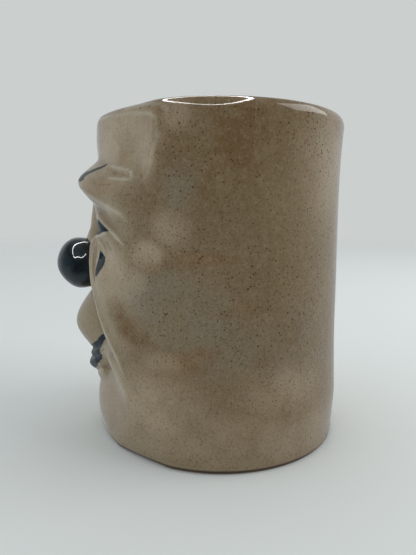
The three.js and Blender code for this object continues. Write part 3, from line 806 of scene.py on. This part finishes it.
class Graph:
    """A material's node tree, built from short calls."""

    def __init__(self, name):
        self.material = bpy.data.materials.new(name)
        self.material.use_nodes = True
        self.tree = self.material.node_tree
        self.tree.nodes.clear()

    def node(self, kind, out=0, settings=None, **inputs):
        node = self.tree.nodes.new("ShaderNode" + kind)
        for key, value in (settings or {}).items():
            setattr(node, key, value)
        for key, value in inputs.items():
            self.put(node.inputs[key.replace("_", " ")], value)
        return node.outputs[out]

    def put(self, socket, value):
        if isinstance(value, bpy.types.NodeSocket):
            self.tree.links.new(value, socket)
        elif isinstance(value, tuple) and len(value) == 3 and socket.type == "RGBA":
            socket.default_value = (*value, 1)
        else:
            socket.default_value = value

    def coordinates(self):
        return self.node("TexCoord", "Object")

    def shift(self, vector, move=(0, 0, 0), scale=(1, 1, 1)):
        return self.node("Mapping", Vector=vector, Location=move, Scale=scale)

    def noise(self, vector, scale, detail=2.0, rough=0.5, warp=0.0):
        return self.node("TexNoise", "Fac", Vector=vector, Scale=scale, Detail=detail, Roughness=rough,
                         Distortion=warp)

    def math(self, operation, a, b=0.0, c=None):
        node = self.tree.nodes.new("ShaderNodeMath")
        node.operation = operation
        self.put(node.inputs[0], a)
        self.put(node.inputs[1], b)
        if c is not None:
            self.put(node.inputs[2], c)
        return node.outputs[0]

    def ramp(self, value, low, high, start=0.0, end=1.0):
        """A smooth step from low to high."""
        node = self.tree.nodes.new("ShaderNodeMapRange")
        node.interpolation_type = "SMOOTHSTEP"
        for k, x in enumerate((value, low, high, start, end)):
            self.put(node.inputs[k], x)
        return node.outputs[0]

    def times(self, a, b):
        return self.math("MULTIPLY", a, b)

    def mix(self, share, a, b):
        node = self.tree.nodes.new("ShaderNodeMix")
        node.data_type = "RGBA"
        self.put(node.inputs[0], share)
        self.put(node.inputs[6], a)
        self.put(node.inputs[7], b)
        return node.outputs[2]

    def attribute(self, name):
        return self.node("Attribute", "Fac", {"attribute_name": name})

    def show(self, surface):
        output = self.tree.nodes.new("ShaderNodeOutputMaterial")
        self.tree.links.new(surface, output.inputs[0])

    def finish(self, **shader):
        self.show(self.node("BsdfPrincipled", 0, None, **shader))
        return self.material


def srgb(r, g, b):
    """Linear colour from the 0 to 255 values of a screen."""
    return tuple(((c / 255 + 0.055) / 1.055) ** 2.4 if c > 10 else c / 255 / 12.92 for c in (r, g, b))


def speckles(graph, coordinates, cell_mm, reach, soft, keep):
    """Round iron spots, of which only a share of the cells holds one, each of its own size.

    Gives the spots, the halos round them and a value from 0 to 1 that is each spot's own.
    """
    voronoi = graph.tree.nodes.new("ShaderNodeTexVoronoi")
    graph.put(voronoi.inputs["Vector"], coordinates)
    voronoi.inputs["Scale"].default_value = 1 / (cell_mm * MM)
    split = graph.node("SeparateColor", 0, None, Color=voronoi.outputs["Color"]).node
    size = graph.math("MULTIPLY_ADD", split.outputs[0], reach, reach * 0.45)
    size = graph.times(size, graph.ramp(split.outputs[1], 1 - keep, 1 - keep + 0.02))
    far = voronoi.outputs["Distance"]
    spot = graph.ramp(graph.math("SUBTRACT", far, size), soft, -soft)
    halo = graph.ramp(graph.math("SUBTRACT", far, size), soft * 7, 0.0)
    present = graph.ramp(size, 0.0, 0.02)
    return graph.times(spot, present), graph.times(halo, present), split.outputs[2]


def glazed_clay():
    """Speckled stoneware glaze, tinted by the values of glaze_marks."""
    g = Graph("speckled_glaze")
    here = g.coordinates()
    broad = g.noise(here, 24, 3, 0.55, 0.4)
    cloud = g.noise(g.shift(here, (3, 1, 7)), 62, 4, 0.6, 0.6)
    tint = g.noise(g.shift(here, (9, 4, 2)), 95, 3, 0.55)
    mottle = g.noise(here, 420, 4, 0.65)
    grain = g.noise(here, 1500, 2, 0.6)
    face = g.attribute("face")

    def tone(key, noise, low, high, top):
        """How much of a broad tone shows, its border broken up by noise."""
        return g.times(g.times(g.attribute(key), g.ramp(noise, low, high, 0.45, 1.0)), top)

    # Broad tones of the glaze, partly painted light and shade, then its mottle and grain
    colour = g.mix(g.ramp(broad, 0.36, 0.62), srgb(134, 114, 86), srgb(142, 124, 96))
    # Paler face: partly a clearer glaze, partly painted light on its side towards the bright left
    colour = g.mix(g.times(face, 0.85), colour, srgb(164, 148, 121))
    # Brown tone: partly the glaze's colour, partly painted shade in the cheek's hollow and over the lid
    colour = g.mix(tone("brown", cloud, 0.35, 0.6, 0.85), colour, srgb(120, 91, 55))
    colour = g.mix(tone("grey", tint, 0.35, 0.6, 0.75), colour, srgb(140, 131, 114))
    colour = g.mix(tone("rust", cloud, 0.4, 0.65, 0.75), colour, srgb(138, 96, 60))
    # Light tone: partly the glaze's colour, partly painted light on the cheek, cheekbone, brow and forehead
    colour = g.mix(tone("light", tint, 0.3, 0.6, 0.85), colour, srgb(192, 173, 147))
    colour = g.mix(g.times(g.ramp(cloud, 0.55, 0.75), 0.3), colour, srgb(118, 94, 66))
    colour = g.mix(g.times(g.ramp(mottle, 0.42, 0.72), 0.3), colour, srgb(160, 146, 120))
    colour = g.mix(g.times(g.ramp(grain, 0.5, 0.75), 0.4), colour, srgb(92, 74, 52))
    colour = g.mix(g.times(g.ramp(grain, 0.48, 0.25), 0.3), colour, srgb(176, 162, 136))
    colour = g.mix(g.times(g.attribute("pool"), 0.5), colour, srgb(112, 86, 58))

    # Brushed streaks on the flat over the brow
    streak = g.noise(g.shift(here, (0, 0, 0), (1, 1, 0.06)), 760, 3, 0.6)
    streak = g.times(g.ramp(streak, 0.44, 0.66), g.attribute("panel"))
    colour = g.mix(g.times(streak, 0.32), colour, srgb(178, 166, 144))

    # Iron speckles, fewer on the face and near the foot
    crowd = g.ramp(g.noise(g.shift(here, (1, 6, 3)), 45, 2), 0.35, 0.65, 0.6, 1.0)
    clear = g.math("SUBTRACT", 1.0, g.times(face, 0.75))
    crowd = g.times(crowd, clear)
    height_up = g.node("SeparateXYZ", "Z", None, Vector=here)
    crowd = g.times(crowd, g.ramp(height_up, 0.012, 0.05, 0.45, 1.0))
    spot, halo, mood = speckles(g, here, 1.05, 0.18, 0.05, 0.72)
    fine, _, _ = speckles(g, g.shift(here, (5, 5, 5)), 0.62, 0.2, 0.08, 0.85)
    rust = g.times(g.times(halo, g.ramp(mood, 0.55, 0.95)), crowd)
    colour = g.mix(g.times(rust, 0.5), colour, srgb(124, 80, 42))
    colour = g.mix(g.times(g.times(fine, crowd), 0.6), colour, srgb(70, 52, 36))
    colour = g.mix(g.times(g.times(spot, crowd), 0.88), colour, srgb(44, 32, 24))

    # Thin pale glaze on the edges, with a painted highlight along some crisp lines, then the painted marks,
    # then the dark line of the foot, partly bare clay and partly painted shadow where it meets the table
    pale = g.times(g.attribute("pale"), g.ramp(g.noise(here, 240, 2), 0.2, 0.6, 0.6, 1.0))
    colour = g.mix(pale, colour, srgb(198, 190, 172))
    wander = g.math("MULTIPLY_ADD", g.noise(here, 700, 2), 0.36, -0.18)
    edge = g.math("ADD", g.attribute("paint"), wander)
    uneven = g.ramp(g.noise(g.shift(here, (2, 8, 1)), 260, 3), 0.3, 0.7)
    wash = g.mix(uneven, srgb(11, 28, 41), srgb(32, 56, 70))
    wash = g.mix(g.times(g.attribute("pale"), 0.12), wash, srgb(100, 114, 128))
    inked = g.times(g.ramp(edge, -0.1, 0.16), g.attribute("ink"))
    colour = g.mix(inked, colour, wash)
    # Darker towards the table: partly the dark bare foot, partly a painted shadow where the foot meets the
    # table
    colour = g.mix(g.ramp(height_up, 0.0017, 0.0009, 0.0, 0.92), colour, srgb(58, 46, 34))
    coat = g.times(g.math("MULTIPLY_ADD", inked, -0.6, 1.0), g.ramp(height_up, 0.0008, 0.0026, 0.25, 1.0))

    wave = g.noise(here, 120, 2, 0.5)
    orange = g.noise(here, 900, 2, 0.5)
    height = g.math("MULTIPLY_ADD", wave, 0.00022, g.times(orange, 0.00002))
    bump = g.node("Bump", 0, None, Height=height, Strength=0.5, Distance=1.0)
    return g.finish(Base_Color=colour, Roughness=0.5, Normal=bump, Specular_IOR_Level=0.06, Coat_Weight=coat,
                    Coat_Roughness=0.07, Coat_IOR=1.5, IOR=1.45)


def bare_clay():
    """Unglazed sandy clay of the foot."""
    g = Graph("bare_clay")
    here = g.coordinates()
    cloud = g.noise(here, 90, 4, 0.6)
    sand = g.noise(here, 1400, 3, 0.7)
    colour = g.mix(g.ramp(cloud, 0.35, 0.7), srgb(150, 122, 92), srgb(122, 92, 66))
    colour = g.mix(g.times(g.ramp(sand, 0.45, 0.75), 0.5), colour, srgb(182, 156, 124))
    spot, _, _ = speckles(g, here, 2.2, 0.18, 0.05, 0.6)
    colour = g.mix(g.times(spot, 0.8), colour, srgb(58, 42, 32))
    height = g.times(sand, 0.0003)
    bump = g.node("Bump", 0, None, Height=height, Strength=0.6, Distance=1.0)
    return g.finish(Base_Color=colour, Roughness=g.ramp(sand, 0.3, 0.8, 0.75, 0.95), Normal=bump)


def dark_glaze():
    """Glossy blue-black glaze of the nose ball."""
    g = Graph("dark_glaze")
    here = g.coordinates()
    cloud = g.noise(here, 190, 4, 0.6, 0.5)
    fleck = g.noise(here, 900, 3, 0.6)
    colour = g.mix(g.ramp(cloud, 0.38, 0.68), srgb(12, 23, 31), srgb(28, 48, 58))
    colour = g.mix(g.times(g.ramp(fleck, 0.55, 0.75), 0.5), colour, srgb(44, 64, 74))
    wave = g.noise(here, 220, 2, 0.5)
    bump = g.node("Bump", 0, None, Height=g.times(wave, 0.00005), Strength=0.5, Distance=1.0)
    return g.finish(Base_Color=colour, Roughness=0.4, Normal=bump, Specular_IOR_Level=0.1,
                    Coat_Weight=1.0, Coat_Roughness=0.04, Coat_IOR=1.5, IOR=1.5)


# The mug

glaze = glazed_clay()
bare = bare_clay()
dark = dark_glaze()

wall(glaze, bare)
floor_disc(glaze, bare)
nose_ball(dark)
for key in PADS:
    if key in ("brow", "eyelid", "cheek"):
        pad(key + "_left", key, False, glaze)
        pad(key + "_right", key, True, glaze)
    else:
        pad(key, key, False, glaze)

# Camera, at the photograph's viewing angle

CAMERA_PLACE = (0.17102, -0.00409, 0.07682)
LENS, SENSOR = 30.49, 36
PITCH = math.radians(7.86)
ROLL = math.radians(0.41)
ahead = Vector((-math.cos(PITCH), 0, -math.sin(PITCH)))
right = Vector((0, 1, 0))
upward = right.cross(ahead)
camera_data = bpy.data.cameras.new("camera")
camera_data.sensor_width = SENSOR
camera_data.lens = LENS
camera_data.clip_start = 0.005
camera_data.clip_end = 50
camera = bpy.data.objects.new("camera", camera_data)
bpy.context.scene.collection.objects.link(camera)
right_rolled = right * math.cos(ROLL) + upward * math.sin(ROLL)
up_rolled = upward * math.cos(ROLL) - right * math.sin(ROLL)
facing = Matrix((right_rolled, up_rolled, -ahead)).transposed()
camera.matrix_world = Matrix.Translation(CAMERA_PLACE) @ facing.to_4x4()
bpy.context.scene.camera = camera

# Light: a pale room that is darker behind the camera, a long ring lamp overhead, which only shows in the
# glaze's reflections, and a soft panel

scene = bpy.context.scene
scene.view_settings.view_transform = "Standard"
BACKDROP = srgb(203, 207, 206)
ROOM = srgb(236, 240, 243)
TABLE = srgb(233, 237, 234)
LAMP_POWER = 26.0

# Way to the room's dark side, where its light starts and ends to fall off towards it, and the strength
# there: for the light on the mug, and for what the glaze mirrors
LIT_ROOM = ((0.8, 0.58, 0.15), (-0.1, 0.95, 0.98, 0.26))
MIRRORED_ROOM = ((0.75, 0.0, 0.66), (-0.3, 0.4, 0.62, 0.08))


def world():
    """The room's light, another room in the reflections, and the plain backdrop in view."""
    made = bpy.data.worlds.new("room")
    scene.world = made
    made.use_nodes = True
    tree = made.node_tree
    tree.nodes.clear()

    def add(kind, **settings):
        node = tree.nodes.new("ShaderNode" + kind)
        for key, value in settings.items():
            setattr(node, key, value)
        return node

    def room(dark_way, values, ground=1.0):
        """A pale room whose light falls off towards one direction and below the horizon."""
        towards = add("VectorMath", operation="DOT_PRODUCT")
        tree.links.new(where.outputs["Generated"], towards.inputs[0])
        towards.inputs[1].default_value = dark_way
        shade = add("MapRange", interpolation_type="SMOOTHSTEP")
        tree.links.new(towards.outputs["Value"], shade.inputs[0])
        for k, x in enumerate(values):
            shade.inputs[k + 1].default_value = x
        split = add("SeparateXYZ")
        tree.links.new(where.outputs["Generated"], split.inputs[0])
        above = add("MapRange", interpolation_type="SMOOTHSTEP")
        tree.links.new(split.outputs[2], above.inputs[0])
        for k, x in enumerate((-0.3, 0.05, ground, 1.0)):
            above.inputs[k + 1].default_value = x
        both = add("Math", operation="MULTIPLY")
        tree.links.new(shade.outputs[0], both.inputs[0])
        tree.links.new(above.outputs[0], both.inputs[1])
        background = add("Background")
        background.inputs[0].default_value = (*ROOM, 1)
        tree.links.new(both.outputs[0], background.inputs[1])
        return background.outputs[0]

    def mix(share, first, second):
        node = add("MixShader")
        tree.links.new(share, node.inputs[0])
        tree.links.new(first, node.inputs[1])
        tree.links.new(second, node.inputs[2])
        return node.outputs[0]

    where = add("TexCoord")
    path = add("LightPath")
    seen = add("Background")
    seen.inputs[0].default_value = (*BACKDROP, 1)
    lighting = room(*LIT_ROOM)
    mirrored = room(*MIRRORED_ROOM, 0.8)
    unseen = mix(path.outputs["Is Glossy Ray"], lighting, mirrored)
    output = add("OutputWorld")
    tree.links.new(mix(path.outputs["Is Camera Ray"], unseen, seen.outputs[0]), output.inputs[0])


def stage_piece(name, points, faces):
    """A mesh object of the stage and the graph of its material."""
    mesh = bpy.data.meshes.new(name)
    mesh.from_pydata(points, [], faces)
    piece = bpy.data.objects.new(name, mesh)
    scene.collection.objects.link(piece)
    g = Graph(name)
    mesh.materials.append(g.material)
    return piece, g


def table():
    """A pale table that fades into the backdrop."""
    size = 3.0
    corners = [(-size, -size, 0), (size, -size, 0), (size, size, 0), (-size, size, 0)]
    plane, g = stage_piece("table", corners, [(0, 1, 2, 3)])
    far = g.node("VectorMath", "Value", {"operation": "LENGTH"}, Vector=g.coordinates())
    fade = g.ramp(far, 0.25, 1.6)
    diffuse = g.node("BsdfDiffuse", 0, None, Color=TABLE)
    clear = g.node("BsdfTransparent")
    mix = g.tree.nodes.new("ShaderNodeMixShader")
    g.tree.links.new(fade, mix.inputs[0])
    g.tree.links.new(diffuse, mix.inputs[1])
    g.tree.links.new(clear, mix.inputs[2])
    g.show(mix.outputs[0])
    plane.visible_glossy = False


def ring_lamp():
    """A long tilted ring of light, given by its middle, its two axes and the half sizes of its two edges."""
    around = 96
    turn = np.linspace(0, 2 * np.pi, around, endpoint=False)[:, None]
    middle, far, side = (np.array(v) for v in ((0.077, -0.036, 0.295), (0.95, 0, -0.31), (0, 1, 0)))
    inner, outer = (middle + long * np.cos(turn) * far + wide * np.sin(turn) * side
                    for long, wide in ((0.226, 0.09), (0.246, 0.102)))
    faces = [(k, (k + 1) % around, around + (k + 1) % around, around + k) for k in range(around)]
    lamp, g = stage_piece("ring_lamp", np.concatenate([inner, outer]).tolist(), faces)
    g.show(g.node("Emission", 0, None, Color=(1.0, 1.0, 1.0), Strength=LAMP_POWER))
    lamp.visible_camera = False
    lamp.visible_diffuse = False
    lamp.visible_shadow = False


def soft_panel(name, where, target, size, power):
    data = bpy.data.lights.new(name, "AREA")
    data.shape = "RECTANGLE"
    data.size, data.size_y = size
    data.energy = power
    lamp = bpy.data.objects.new(name, data)
    scene.collection.objects.link(lamp)
    lamp.location = where
    lamp.rotation_mode = "QUATERNION"
    lamp.rotation_quaternion = (Vector(target) - Vector(where)).to_track_quat("-Z", "Y")


world()
table()
ring_lamp()
soft_panel("panel_right", (0.05, 0.75, 0.6), (0, 0, 0.08), (0.7, 0.5), 3.0)
